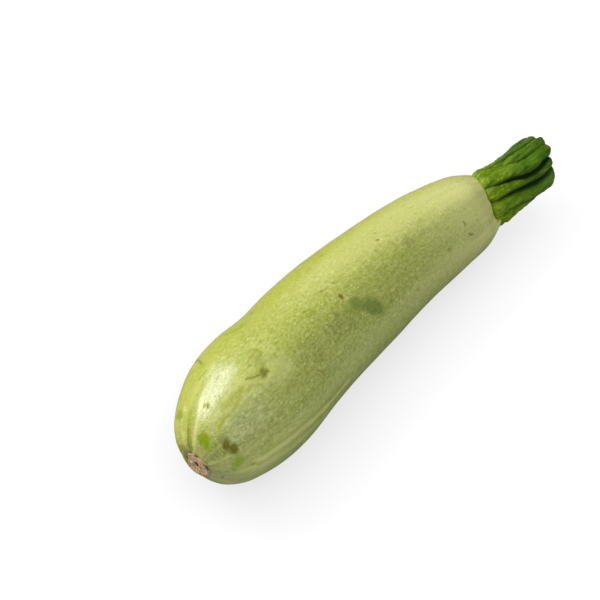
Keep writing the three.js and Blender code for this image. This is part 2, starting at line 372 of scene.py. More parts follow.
fruit = {
    # (station, radius) pairs
    "outline": [
        (1.4, 6), (3.5, 10.7), (8, 15.6), (16, 19.8), (28, 23), (45, 23.7), (65, 22.2),
        (85, 21.8), (105, 20.5), (125, 19.1), (143, 17.3), (154, 15.5), (160.5, 13), (164.2, 10.9),
    ],
    "blossomPit": [(3, 3.6), (2.2, 4.2), (1.5, 4.7), (1.2, 5.2)],
    "shoulder": [(164.9, 9.6), (165.2, 8.2), (165.2, 6)],
    "rows": 330,
    "columns": 276,
    "pitRadius": 5.4,
    "pitBlend": 4,
    "reliefFrom": (5, 7.4),  # the radii over which the relief sets in
    "blossomHalf": 30,  # what belongs to the blossom end lies within this distance
    "ribs": {"count": 5, "height": 0.009, "endHeight": 0.028, "turn": 0.5},
    "lumps": 0.007,
    "slowLumps": {"round": 3, "along": 9, "swells": 7, "from": 1},
    "longLumps": {"share": 0.6, "round": 2, "along": -14, "from": 2},
    "inset": 0.28,  # keeps the swells inside the solid
    "swells": {"height": 0.15, "length": 26, "seed": 3},
    "ripples": {"height": 0.045, "length": 4.5, "seed": 8},
    "blossomPleats": {"count": 13, "height": 0.16, "reach": 16},
    "stalkPleats": {"count": 10, "height": 0.22, "reach": 17},
    "pleatWander": {"turn": 0.25, "length": 30, "seed": 5},
    "bandWander": {"turn": 0.13, "length": 24, "seed": 51},
    "lip": {"radius": 5.3, "width": 0.5, "height": 0.18, "length": 2, "seed": 17},
    "sunAndLitAngle": 62,  # the yellowest side, which faces the key light: partly the skin's own yellow, partly painted light
    "farAngle": 20,  # the side away from the camera
    # size of the unevenness of a mark's edge, then where the edge begins and ends
    "spotEdge": (0.2, 0.55, 1.35),
    "strokeEdge": (0.4, 0.4, 1.9),
    "ragged": [(1, 1.8, 41), (0.6, 4, 42)],  # share, length and seed of that unevenness
    "dentRim": {"height": 0.3, "at": 1.35, "spread": 0.08},
    "kinds": ("line", "shade", "light", "lime", "green", "olive", "bruise", "brown", "pale"),
    # kind, station, angle, length along, width, turn in degrees, strength
    "marks": [
        ("green", 4.3, 96, 5.4, 5.2, 10, 1),
        ("green", 3.9, 103, 3.6, 4.4, 50, 0.9),
        ("olive", 7.2, 125, 3.4, 4.6, 30, 1),
        ("olive", 8, 136, 3.2, 4.4, 10, 1),
        ("green", 7.2, 154, 5.5, 3.6, -20, 0.8),
        ("green", 5.4, 164, 2.4, 2.2, 0, 0.55),
        ("lime", 8.3, 38, 3.4, 5.4, 10, 0.95),
        ("olive", 29.6, 106, 2.4, 4.4, 50, 0.85),
        ("green", 30.4, 107, 1.3, 3, 60, 0.8),
        ("olive", 33, 92, 5, 8, 30, 0.3),
        ("bruise", 82.2, 137, 10.5, 6.4, 44, 0.72),
        ("bruise", 77.4, 125, 9.5, 5, 42, 0.62),
        ("green", 73.5, 123, 9, 5, 20, 0.3),
        ("brown", 74.2, 109, 1.6, 2.6, 0, 0.85),
        ("pale", 75.3, 114, 1.3, 1.5, 0, 0.9),
        ("brown", 99.1, 99, 0.9, 0.9, 0, 0.8),
        ("brown", 97.6, 112, 0.7, 0.9, 0, 0.4),
        ("brown", 104.3, 89.5, 1.4, 1.2, 0, 0.75),
        ("pale", 105.3, 92, 1.5, 1.5, 0, 1),
        ("brown", 3.2, 190, 0.9, 1.7, 0, 0.8),
        ("brown", 3.9, 167, 0.9, 1.2, 0, 0.5),
        ("brown", 12.2, 79, 1.2, 1.3, 0, 0.95),
        ("pale", 11.2, 78, 1.6, 1.4, 0, 0.7),
        ("shade", 12, 122, 24, 26, 0, 0.3),
        ("shade", 14, 146, 26, 9, 0, 0.32),
        ("shade", 67, 127, 20, 9, 10, 0.5),
        ("light", 112, 75, 104, 18, 0, 0.42),
        ("light", 58, 72, 46, 14, 0, 0.12),
        ("shade", 9.5, 70, 9, 10, 0, 0.2),
        ("shade", 20, 76, 20, 9, 0, 0.2),
        ("shade", 113, 112, 7, 5, 10, 0.3),
        ("light", 34, 92, 12, 8, 0, 0.22),
        ("light", 34, 114, 14, 8, 0, 0.32),
        ("light", 12, 182, 26, 16, 0, 0.2),
        ("light", 150, 112, 18, 9, 0, 0.22),
        ("light", 100, 162, 110, 8, 0, 0.16),
        ("light", 128, 96, 26, 9, 0, 0.2),
        ("shade", 50, 122, 16, 9, 0, 0.25),
        ("shade", 147, 151, 20, 4, 0, 0.3),
        ("line", 22, 45, 22, 14, 0, 0.8),
        ("line", 33, 95, 16, 12, 20, 0.7),
        ("line", 14, 100, 12, 8, 0, 0.5),
        ("line", 88, 40, 30, 8, 0, 0.5),
        ("line", 40, 290, 40, 20, 0, 0.6),
        ("line", 130, 340, 26, 12, 0, 0.5),
        ("green", 60, 300, 14, 5, 15, 0.5),
        ("olive", 96, 338, 6, 3, 0, 0.6),
        ("green", 20, 250, 5, 4, 0, 0.6),
        ("green", 122, 12, 7, 2.2, 10, 0.5),
        ("brown", 52, 12, 1.4, 1.2, 0, 0.8),
    ],
    # kind, width, strength, then the (station, angle) points that the stroke passes
    "strokes": [
        ("lime", 1.1, 0.75, [(8.6, 106), (11.4, 104), (13, 105)]),
        ("lime", 1, 0.6, [(14.8, 107), (17.4, 104), (19.6, 104)]),
        ("green", 0.8, 0.5, [(12.4, 110), (15.2, 111), (18.4, 110), (22, 112)]),
        ("lime", 0.9, 0.5, [(21.4, 104), (24.6, 107), (26.4, 111)]),
        ("green", 1.3, 0.8, [(38.7, 43), (39.4, 49), (40.8, 53), (42.9, 56), (45.1, 55)]),
        ("green", 0.8, 0.8, [(19.6, 53), (21.1, 55), (22.7, 58)]),
        ("olive", 0.6, 0.8, [(28.5, 25), (27, 38), (24.9, 47)]),
        ("green", 0.6, 0.6, [(30.3, 60), (29.6, 50), (30.5, 44)]),
        ("lime", 1.6, 0.75, [(9.4, 58), (7.8, 59), (6.4, 61)]),
        ("lime", 1.3, 0.6, [(5.4, 63), (3.5, 66), (1.9, 70)]),
        ("lime", 1.4, 0.5, [(8, 50), (5, 50)]),
        ("lime", 2, 0.45, [(14, 96), (17.5, 98), (21, 101)]),
        ("olive", 0.6, 0.8, [(24.7, 98), (26.6, 102), (28.1, 104), (31.4, 108)]),
        ("green", 1.4, 0.6, [(83, 36), (85.8, 42), (89, 45)]),
        ("olive", 0.5, 0.8, [(142, 129), (142.2, 133), (141.4, 135)]),
        ("olive", 0.5, 0.8, [(141.9, 146), (142.7, 149), (143.9, 150)]),
        ("brown", 0.5, 0.45, [(45.8, 138), (46.8, 142), (47.2, 148)]),
        ("brown", 0.7, 0.45, [(1.35, 358), (1.35, 20), (1.35, 44), (1.35, 66)]),
        ("brown", 0.7, 0.5, [(1.35, 128), (1.35, 150), (1.35, 176), (1.35, 196)]),
        ("brown", 0.8, 0.5, [(1.35, 215), (1.35, 240)]),
        ("olive", 0.7, 0.6, [(1.6, 62), (3, 62), (6, 60)]),
        ("pale", 1.2, 0.7, [(2, 78), (3.2, 78), (5.1, 76), (9, 72), (14, 69)]),
        ("pale", 1.6, 0.6, [(1.7, 50), (2.9, 50), (5.5, 48), (10, 46)]),
        ("pale", 1.5, 0.6, [(12, 166), (24.5, 168), (36, 171), (46.7, 174), (58, 175)]),
        ("green", 1.1, 0.5, [(14, 162), (26, 164), (40, 168), (54, 171)]),
        ("green", 0.9, 0.45, [(12, 171), (24, 173), (38, 177), (50, 179)]),
        ("pale", 1.2, 0.45, [(10, 178), (26, 181), (44, 184)]),
        ("pale", 2.2, 0.45, [(100, 228), (118, 230), (134, 229)]),
        ("green", 1.2, 0.5, [(24, 262), (38, 258), (50, 259)]),
        ("green", 0.9, 0.6, [(104, 8), (107, 14), (112, 15)]),
    ],
    # station, angle, width, depth; a negative depth stands proud
    "dents": [
        (12.1, 78, 2.2, 0.42),
        (104.9, 91, 2, -0.25),
        (104.2, 89, 1.4, 0.3),
        (75.2, 113, 2.2, -0.3),
        (74.2, 109, 1.6, 0.3),
        (29, 104, 6, 0.2),
        (142, 131, 1.4, 0.16),
        (142.5, 148.5, 1.4, 0.16),
        (79.5, 130, 14, 0.14),
        (52, 12, 2, 0.3),
        (3.2, 190, 1.6, 0.25),
        (99.1, 99, 1.4, 0.2),
    ],
    # station, angle, length, width, height of the larger unevennesses
    "bulges": [
        (34, 42, 16, 16, 0.6),
        (52, 42, 10, 18, -1),
        (4, 212, 8, 9, -0.65),
        (71, 42, 16, 18, 0.6),
        (92, 42, 16, 16, -0.2),
        (78, 112, 18, 12, -0.15),
        (52, 200, 10, 12, -0.5),
        (26, 198, 10, 12, -0.4),
    ],
    # parts of the blossom end that stand further out: height, angle, spread in degrees, then
    # the radii between which they rise and fall
    "raised": [
        (0.7, 310, 60, (4.6, 5.4), (6, 10.5)),
        (1.1, 30, 42, (5.4, 9), (11, 19)),
    ],
    "tinyDots": {
        "count": 240,
        "seed": 21,
        "stations": (6, 160),
        "sizes": (0.6, 1.3),
        "stretches": (1, 2.4),
        "strengths": (0.15, 0.6),
        "kinds": ("green", "olive", "brown"),
        "shares": (0.6, 0.28, 0.12),
    },
}


def fruitSection(station, angle):
    # the ribs and unevenness of the solids, as a factor on the radius
    ribs = fruit["ribs"]
    share = station / axis["fruitLength"]
    gather = np.abs(2 * share - 1) ** 3
    rib = ribs["height"] + (ribs["endHeight"] - ribs["height"]) * gather
    slow, long = fruit["slowLumps"], fruit["longLumps"]
    lumps = np.sin(slow["round"] * angle + slow["along"] * share)
    lumps *= np.sin(slow["swells"] * share + slow["from"])
    lumps += long["share"] * np.sin(long["round"] * angle + long["along"] * share + long["from"])
    return 1 + rib * np.cos(ribs["count"] * (angle - ribs["turn"])) + fruit["lumps"] * lumps


def fruitGrid():
    middle = splinePoints(fruit["outline"], fruit["rows"])
    profile = np.concatenate([fruit["blossomPit"], middle, fruit["shoulder"]])
    walked = np.concatenate([[0], np.cumsum(np.linalg.norm(np.diff(profile, axis=0), axis=1))])
    station, angle, radius = ringGrid(profile, fruit["columns"])
    distance = np.repeat(walked[:, None], fruit["columns"], 1)
    straight = np.stack([distance, radius * np.cos(angle), radius * np.sin(angle)], -1)
    grid = {"profile": profile, "walked": walked, "distance": distance, "straight": straight}
    return {**grid, "station": station, "angle": angle, "radius": radius}


def distanceToMark(grid, station, turn):
    # how far each grid point lies from a mark, along the fruit and across it
    profile = grid["profile"]
    tip = np.argmin(profile[:, 0])
    along = grid["distance"] - np.interp(station, profile[tip:, 0], grid["walked"][tip:])
    apart = (grid["angle"] - math.radians(turn) + math.pi) % (2 * math.pi) - math.pi
    return along, apart * grid["radius"]


def spotMask(along, across, length, width, turn, ragged):
    turned = math.radians(turn)
    u = (along * math.cos(turned) + across * math.sin(turned)) / (0.5 * length)
    v = (across * math.cos(turned) - along * math.sin(turned)) / (0.5 * width)
    uneven, start, end = fruit["spotEdge"]
    return 1 - smoothStep(np.hypot(u, v) + uneven * ragged, start, end)


def strokeMask(grid, places, width, ragged):
    nearest = np.full(grid["angle"].shape, 99.0)
    for (s0, a0), (s1, a1) in zip(places[:-1], places[1:]):
        along, across = distanceToMark(grid, s0, a0)
        farAlong, farAcross = distanceToMark(grid, s1, a1)
        ahead, aside = along - farAlong, across - farAcross
        span = ahead**2 + aside**2 + 0.001
        t = np.clip((along * ahead + across * aside) / span, 0, 1)
        nearest = np.minimum(nearest, np.hypot(along - t * ahead, across - t * aside))
    uneven, start, end = fruit["strokeEdge"]
    return 1 - smoothStep(nearest / (0.5 * width) + uneven * ragged, start, end)


def fruitRelief(grid):
    straight, angle, distance = grid["straight"], grid["angle"], grid["distance"]
    swells, ripples = fruit["swells"], fruit["ripples"]
    relief = swells["height"] * waves(straight, swells["length"], swells["seed"])
    relief += ripples["height"] * waves(straight * [0.5, 1, 1], ripples["length"], ripples["seed"])
    wander = fruit["pleatWander"]
    wander = wander["turn"] * waves(straight, wander["length"], wander["seed"])
    pleats = fruit["blossomPleats"]
    fade = np.exp(-((distance / pleats["reach"]) ** 2))
    relief += pleats["height"] * fade * np.cos(pleats["count"] * (angle + wander))
    pleats = fruit["stalkPleats"]
    fade = np.exp(-(((grid["walked"][-1] - distance) / pleats["reach"]) ** 2))
    relief += pleats["height"] * fade * np.cos(pleats["count"] * (angle + 0.5 * wander) + 1)
    for station, turn, length, width, height in fruit["bulges"]:
        along, across = distanceToMark(grid, station, turn)
        relief += height * np.exp(-((along / length) ** 2) - (across / width) ** 2)
    rim = fruit["dentRim"]
    for station, turn, width, depth in fruit["dents"]:
        along, across = distanceToMark(grid, station, turn)
        apart = np.hypot(along, across) / (0.5 * width)
        raisedRim = rim["height"] * np.exp(-((apart - rim["at"]) ** 2) / rim["spread"])
        relief -= depth * (np.exp(-(apart**2)) - raisedRim)
    onSkin = smoothStep(grid["radius"], *fruit["reliefFrom"])
    lip = fruit["lip"]
    onLip = np.exp(-(((grid["radius"] - lip["radius"]) / lip["width"]) ** 2))
    onLip *= lip["height"] * (distance < fruit["blossomHalf"])
    return (relief - fruit["inset"]) * onSkin + onLip * waves(straight, lip["length"], lip["seed"])


def fruitMarks(grid):
    masks = {kind: np.zeros(grid["angle"].shape) for kind in fruit["kinds"]}
    ragged = sum(share * waves(grid["straight"], *wave) for share, *wave in fruit["ragged"])
    for kind, station, turn, length, width, tilt, strength in fruit["marks"]:
        along, across = distanceToMark(grid, station, turn)
        spot = strength * spotMask(along, across, length, width, tilt, ragged)
        masks[kind] = np.maximum(masks[kind], spot)
    for kind, width, strength, places in fruit["strokes"]:
        masks[kind] = np.maximum(masks[kind], strength * strokeMask(grid, places, width, ragged))
    dots = fruit["tinyDots"]
    rng = np.random.default_rng(dots["seed"])
    for _ in range(dots["count"]):
        station = rng.uniform(*dots["stations"])
        turn = rng.uniform(0, 360)
        size = rng.uniform(*dots["sizes"])
        kind = dots["kinds"][rng.choice(len(dots["kinds"]), p=dots["shares"])]
        strength = rng.uniform(*dots["strengths"])
        length = size * rng.uniform(*dots["stretches"])
        along, across = distanceToMark(grid, station, turn)
        spot = strength * spotMask(along, across, length, size, 0, ragged)
        masks[kind] = np.maximum(masks[kind], spot)
    return masks


def buildFruit(material):
    grid = fruitGrid()
    station, angle, radius = grid["station"], grid["angle"], grid["radius"]
    onSkin = smoothStep(radius, fruit["pitRadius"], fruit["pitRadius"] + fruit["pitBlend"])
    shaped = radius * (1 + onSkin * (fruitSection(station, angle) - 1))
    smooth = ontoAxis(station, angle, shaped).reshape(-1, 3)
    low, high = (np.array(corner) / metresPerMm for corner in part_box("fruit"))
    offset = (low + high) / 2 - (smooth.min(0) + smooth.max(0)) / 2
    offset[0] = low[0] - smooth[:, 0].min()
    offset[2] = 0
    out = np.zeros(angle.shape)
    for height, turn, spread, rise, fall in fruit["raised"]:
        around = (np.degrees(angle) - turn + 180) % 360 - 180
        band = smoothStep(radius, *rise) * (1 - smoothStep(radius, *fall))
        band *= grid["distance"] < fruit["blossomHalf"]
        out += height * band * np.exp(-((around / spread) ** 2))
    points = ontoAxis(station - out, angle, shaped + fruitRelief(grid)) + offset
    points[..., 2] = np.maximum(points[..., 2], 0)
    piece = gridMesh("skin", points)
    ribs = fruit["ribs"]
    wander = fruit["bandWander"]
    wander = wander["turn"] * waves(grid["straight"] * [0.5, 1, 1], wander["length"], wander["seed"])
    addAttributes(
        piece,
        skinPoint=grid["straight"],
        linePoint=np.stack([grid["distance"], np.cos(angle), np.sin(angle)], -1),
        stationShare=station / axis["fruitLength"],
        darkBand=0.5 - 0.5 * np.cos(ribs["count"] * (angle - ribs["turn"] + wander)),
        sunSide=facingShare(angle, fruit["sunAndLitAngle"]),
        farSide=facingShare(angle, fruit["farAngle"]),
        **{kind + "Mark": mask for kind, mask in fruitMarks(grid).items()},
    )
    dress(piece, material, "fruit")
    return offset


skinFinish = {
    "ground": (0.176, 0.216, 0.023, 1),
    "dark": (0.106, 0.145, 0.010, 1),
    "yellow": (0.25, 0.27, 0.003, 1),
    "bloomAndSheenGrey": (0.222, 0.268, 0.098, 1),
    "cream": (0.43, 0.415, 0.175, 1),
    "fleck": (0.53, 0.565, 0.18, 1),
    "pale": (0.56, 0.54, 0.20, 1),
    "lime": (0.245, 0.275, 0.003, 1),
    "far": (0.33, 0.34, 0.006, 1),
    "green": (0.21, 0.295, 0.002, 1),
    "olive": (0.13, 0.128, 0.001, 1),
    "bruise": (0.10, 0.16, 0.018, 1),
    "brown": (0.12, 0.08, 0.012, 1),
    "shade": (0.09, 0.095, 0.008, 1),
    "coat": 0.38,
    "roughness": 0.34,
    "bump": 0.00012,
}


def courgetteSkin():
    material, tree, shader = newMaterial("courgetteSkin")
    finish = skinFinish
    point = readAttribute(tree, "skinPoint", "Vector")
    line = readAttribute(tree, "linePoint", "Vector")
    share = readAttribute(tree, "stationShare")
    clouds = cloudy(tree, point, length=9.0, detail=4.0, contrast=0.5)
    greying = cloudy(tree, point, length=26.0, detail=2.0, contrast=0.5)
    darkness = times(tree, readAttribute(tree, "darkBand"), clouds)
    ground = mixColour(tree, darkness, finish["ground"], finish["dark"])
    # painted light: yellower on the side that faces the key light, partly the skin's own colour
    sun = times(tree, readAttribute(tree, "sunSide"), scaled(tree, clouds, 0.4, 0.6))
    ground = mixColour(tree, sun, ground, finish["yellow"])
    # greyer on the side turned from the key light: partly the wax bloom, partly a painted reflection of the
    # white surroundings
    shade = scaled(tree, readAttribute(tree, "sunSide"), -1.0, 1.0)
    ground = mixColour(tree, times(tree, shade, scaled(tree, greying, 0.5, 0.3)), ground, finish["bloomAndSheenGrey"])
    # creamier towards the stalk
    ground = mixColour(tree, ramp(tree, share, 0.55, 1.0, 0.0, 0.6), ground, finish["cream"])
    # long streaks that gather at both ends
    stretched = stretchedPoint(tree, line, (0.035, 5.5, 5.5))
    streaks = cloudy(tree, stretched, length=1.0, detail=3.0, contrast=0.4)
    ends = absolute(tree, scaled(tree, share, 2.0, -1.0))
    endShare = ramp(tree, ends, 0.45, 1.0, 0.1, 0.8)
    ground = mixColour(tree, times(tree, streaks, endShare), ground, finish["pale"])
    # painted shade: darker where the shade marks lie, on the blossom end's shaded side and under the
    # highlight; a few shade marks are darker patches of the skin itself
    ground = mixColour(tree, readAttribute(tree, "shadeMark"), ground, finish["shade"])
    # painted light: lighter where the light marks lie, chiefly a long band on the side that faces the key
    # light
    ground = mixColour(tree, readAttribute(tree, "lightMark"), ground, finish["pale"])
    # flecks, small and large
    drawn = stretchedPoint(tree, point, (0.55, 1.0, 1.0))
    net = cloudy(tree, drawn, length=0.8, detail=2.0, contrast=0.6)
    fine = useGroup(tree, flecks, point=point, spacing=1.05, stretch=1.5, size=0.3)
    coarse = useGroup(tree, flecks, point=point, spacing=2.5, stretch=1.25, size=0.2)
    fineMask = times(tree, fine.outputs["Mask"], scaled(tree, fine.outputs["Tone"], 0.5, 0.16))
    coarseMask = times(tree, coarse.outputs["Mask"], scaled(tree, coarse.outputs["Tone"], 0.45, 0.04))
    colour = ground
    for mask in (scaled(tree, net, 0.5), fineMask, coarseMask):
        colour = mixColour(tree, mask, colour, finish["fleck"])
    # painted reflection and shade: yellower and less blue along the far edge
    farShare = ramp(tree, readAttribute(tree, "farSide"), 0.78, 0.96, 0.0, 0.5)
    colour = mixColour(tree, farShare, colour, finish["far"])
    broken = cloudy(tree, point, length=1.1, detail=2.0, contrast=0.9)
    # fine wavering lines, only where the mask allows them
    wavering = cloudy(tree, drawn, length=7.0, detail=2.5, contrast=0.6)
    apart = absolute(tree, scaled(tree, wavering, 1.0, -0.5))
    lineMask = times(tree, ramp(tree, apart, 0.11, 0.02), readAttribute(tree, "lineMark"))
    colour = mixColour(tree, times(tree, lineMask, clouds), colour, finish["green"])
    for kind in ("pale", "lime", "green", "olive", "bruise", "brown"):
        mark = readAttribute(tree, kind + "Mark")
        edged = times(tree, mark, scaled(tree, broken, 0.3, 0.85))
        colour = mixColour(tree, edged, colour, finish[kind])
    tree.links.new(colour, shader.inputs["Base Color"])
    rough = scaled(tree, broken, 0.12, finish["roughness"] - 0.06)
    tree.links.new(rough, shader.inputs["Roughness"])
    shader.inputs["Specular IOR Level"].default_value = 0.2
    # the wax shines least where the skin turns away
    facing = addNode(tree, "ShaderNodeLayerWeight", {"Blend": 0.5}).outputs["Facing"]
    tree.links.new(ramp(tree, facing, 0.3, 0.6, finish["coat"], 0.02), shader.inputs["Coat Weight"])
    shader.inputs["Coat Roughness"].default_value = 0.2
    grain = cloudy(tree, point, length=0.7, detail=3.0, contrast=1.0)
    addBump(tree, shader, combined(tree, grain, fineMask, "ADD"), finish["bump"])
    return material


offset = buildFruit(courgetteSkin())

print("Shaping the stalk")

stalk = {
    # (distance from the fruit, radius over the ribs)
    "outline": [
        (-1.6, 10.3), (0, 11), (3, 11), (9, 10.6), (16, 10.6),
        (22.3, 10.8), (25.6, 10.7), (27.8, 9.9), (28.7, 8.5),
    ],
    "cutFace": [(28.65, 8.2), (28.4, 6.1), (28.3, 4.8), (27.9, 3.4), (27.2, 2.2), (26.6, 1)],
    "faceRows": 24,
    "vessels": {"radius": 5.6, "width": 1.1, "depth": 0.22},  # one in each rib of the cut face
    "rows": 186,
    "columns": 460,
    "grooveStations": (0, 5, 10, 15, 20, 25, 30),
    # angle of each groove at those distances, its depth at the fruit and at the cut, then how
    # far the rib after it reaches past the cut and how full that rib is
    "grooves": [
        ((22, 26, 30, 33, 35, 35, 33), 0.6, 0.9, -0.6, 0.86),
        ((56, 58, 60, 62, 65, 65, 63), 0.4, 0.6, 1.2, 0.96),
        ((60, 67, 78, 90, 95, 94, 92), 0, 0.5, 1.4, 1),
        ((101, 109, 117, 129, 133, 128, 124), 0.5, 1.2, 0.4, 1),
        ((133, 139, 146, 154, 158, 155, 149), 0.55, 1.15, 0, 1),
        ((173, 177, 187, 199, 209, 206, 198), 0.6, 1, 0.2, 0.9),
        ((212, 217, 226, 238, 246, 246, 240), 0.6, 1, -0.3, 1),
        ((250, 255, 264, 275, 282, 283, 278), 0.6, 1, 0.2, 0.9),
        ((287, 292, 301, 311, 317, 318, 313), 0.6, 1, -0.4, 1),
        ((325, 330, 338, 347, 352, 352, 349), 0.6, 1, -0.1, 1),
    ],
    "depth": 2.5,  # of a full groove
    "deepenUntil": 0.5,  # the share of the stub over which the depth changes
    "shallowEnd": {"share": 0.4, "from": 0.82, "until": 0.97},  # shallower near the cut
    # a rib of the usual width in degrees is as full as its groove's row says
    "ribs": {"usualWidth": 34, "least": 0.35, "most": 1.1, "roundness": 0.62},
    "ribbedFrom": (4, 9),  # the radii over which the ribs set in
    "endsFrom": 23,  # the distance from which the ribs end unevenly
    "grooveDrop": 0.9,  # how far the grooves fall back at the cut
    "faceFrom": (7.2, 8.6),  # the radii between the cut face and its edge
    "gap": 0.3,  # to the fruit
    "knobs": {
        "count": 900,
        "height": 0.5,
        "seed": 12,
        "crowding": 1.6,  # towards the fruit
        "lengths": (0.6, 1.5),
        "widths": (0.5, 1.0),
        "heights": (0.3, 1.0),
        "radius": 10.5,  # of the stub, on which the widths are measured
        "onCrests": (0.3, 0.8),  # how near the crest they are in full
        "fading": {"share": 0.45, "span": (5, 19)},
    },
    "foot": {"at": 2.2, "width": 1.8, "height": 0.55},  # the swelling beside the fruit
    # height, stretch, length and seed of the fine unevennesses; those of the cut have no stretch
    "fibres": [(0.2, 0.8, 6, 31), (0.13, 0.5, 1.9, 32), (0.11, 0.12, 1.5, 33)],
    "faceFibres": [(0.1, 1.3, 35), (0.12, 4, 36)],
    "reliefFrom": (5, 9),
    "darkAngle": 60,
}


def grooveTable(distance):
    # angle and depth of every groove at each distance, as rows of the grid
    stations = stalk["grooveStations"]
    ways = distance / stations[-1]
    angles = np.stack([alongTable(list(zip(stations, g[0])), distance) for g in stalk["grooves"]], -1)
    deepened = smoothStep(ways, 0, stalk["deepenUntil"])
    depths = np.stack([g[1] + (g[2] - g[1]) * deepened for g in stalk["grooves"]], -1)
    end = stalk["shallowEnd"]
    return angles, depths * (1 - end["share"] * smoothStep(ways, end["from"], end["until"]))[:, None]


def ribShape(distance, angle):
    # how far down its groove each point is (0 on a crest, 1 in a full groove) and the rib's number
    turned = np.degrees(angle)
    angles, depths = grooveTable(distance)
    ribs = stalk["ribs"]
    down = np.zeros(turned.shape)
    number = np.zeros(turned.shape, int)
    for k in range(angles.shape[1]):
        following = (k + 1) % angles.shape[1]
        start = angles[:, k][:, None]
        width = (angles[:, following][:, None] - start) % 360
        place = (turned - start) % 360 / np.maximum(width, 0.1)
        here = place < 1
        across = np.where(here, place, 0.5)
        rise = np.abs(np.sin(math.pi * across)) ** ribs["roundness"]
        near = depths[:, k][:, None] * (1 - across) + depths[:, following][:, None] * across
        full = np.clip(width / ribs["usualWidth"], ribs["least"], ribs["most"]) * stalk["grooves"][k][4]
        down = np.where(here, near * (1 - full * rise), down)
        number = np.where(here, k, number)
    return down, number


def stalkRelief(straight, distance, angle, radius, crest):
    relief = np.zeros(angle.shape)
    for height, stretch, length, seed in stalk["fibres"]:
        relief += height * waves(straight * [stretch, 1, 1], length, seed)
    knobs = stalk["knobs"]
    rng = np.random.default_rng(knobs["seed"])
    lumps = np.zeros(angle.shape)
    for _ in range(knobs["count"]):
        spot = axis["stalkLength"] * rng.uniform(0, 1) ** knobs["crowding"]
        turn = rng.uniform(0, 2 * math.pi)
        length = rng.uniform(*knobs["lengths"])
        width = rng.uniform(*knobs["widths"])
        tall = rng.uniform(*knobs["heights"])
        rows = np.abs(distance[:, 0] - spot) < 3 * length
        apart = ((angle[rows] - turn + math.pi) % (2 * math.pi) - math.pi) * knobs["radius"]
        lump = np.exp(-(((distance[rows] - spot) / length) ** 2) - (apart / width) ** 2)
        lumps[rows] = np.maximum(lumps[rows], lump * tall)
    early = 1 - knobs["fading"]["share"] * smoothStep(distance, *knobs["fading"]["span"])
    foot = stalk["foot"]
    swelling = foot["height"] * np.exp(-(((distance - foot["at"]) / foot["width"]) ** 2)) * crest
    bumps = knobs["height"] * lumps * smoothStep(crest, *knobs["onCrests"]) * early
    return (relief + bumps + swelling) * smoothStep(radius, *stalk["reliefFrom"]), lumps * early


def vesselMask(angle, radius):
    # the spots of the vessels that the cut shows, one in the middle of each rib
    vessels = stalk["vessels"]
    starts = [groove[0][-1] for groove in stalk["grooves"]]
    mask = np.zeros(angle.shape)
    for start, following in zip(starts, starts[1:] + [starts[0] + 360]):
        middle = math.radians((start + following) / 2)
        across = radius * np.cos(angle) - vessels["radius"] * math.cos(middle)
        up = radius * np.sin(angle) - vessels["radius"] * math.sin(middle)
        mask = np.maximum(mask, np.exp(-((np.hypot(across, up) / vessels["width"]) ** 2)))
    return mask


def buildStalk(material):
    side = splinePoints(stalk["outline"], stalk["rows"])
    profile = np.concatenate([side, splinePoints(stalk["cutFace"], stalk["faceRows"])])
    distance, angle, radius = ringGrid(profile, stalk["columns"])
    down, number = ribShape(profile[:, 0], angle)
    crest = 1 - np.clip(down, 0, 1)
    ribbed = smoothStep(radius, *stalk["ribbedFrom"])
    straight = np.stack([distance, radius * np.cos(angle), radius * np.sin(angle)], -1)
    relief, lumps = stalkRelief(straight, distance, angle, radius, crest)
    shaped = radius - ribbed * down * stalk["depth"] + relief
    reach = np.array([groove[3] for groove in stalk["grooves"]])[number]
    nearEnd = smoothStep(distance, stalk["endsFrom"], axis["stalkLength"]) * ribbed
    onFace = (1 - smoothStep(radius, *stalk["faceFrom"])) * (distance > stalk["endsFrom"])
    vessels = onFace * vesselMask(angle, radius)
    flat = straight * [0, 1, 1]
    rough = onFace * sum(height * waves(flat, length, seed) for height, length, seed in stalk["faceFibres"])
    onward = distance + nearEnd * (reach * crest - stalk["grooveDrop"] * down) + rough
    onward -= stalk["vessels"]["depth"] * vessels
    station = axis["fruitLength"] + stalk["gap"] + onward
    points = ontoAxis(station, angle, shaped) + offset
    piece = gridMesh("stalk_stub", points)
    share = distance / axis["stalkLength"]
    addAttributes(piece, stalkPoint=straight, crest=crest, knob=lumps, stalkShare=share)
    addAttributes(piece, cutMask=onFace, vessel=vessels, faceRadius=radius)
    addAttributes(piece, darkSide=facingShare(angle, stalk["darkAngle"]))
    dress(piece, material, "stalk")


stalkFinish = {
    # painted shade for the groove bottoms, also the colour of the darker pits
    "groove": (0.008, 0.026, 0.0005, 1),
    "green": (0.065, 0.16, 0.001, 1),
    "dark": (0.036, 0.10, 0.0005, 1),
    "fresh": (0.12, 0.21, 0.001, 1),
    "foot": (0.27, 0.37, 0.004, 1),
    "thread": (0.16, 0.24, 0.03, 1),
    "pith": (0.30, 0.34, 0.12, 1),
    "flesh": (0.46, 0.48, 0.24, 1),
    "vessel": (0.13, 0.19, 0.02, 1),
    "hollow": (0.17, 0.13, 0.05, 1),
    "roughness": 0.36,
    "bump": 0.0003,
}


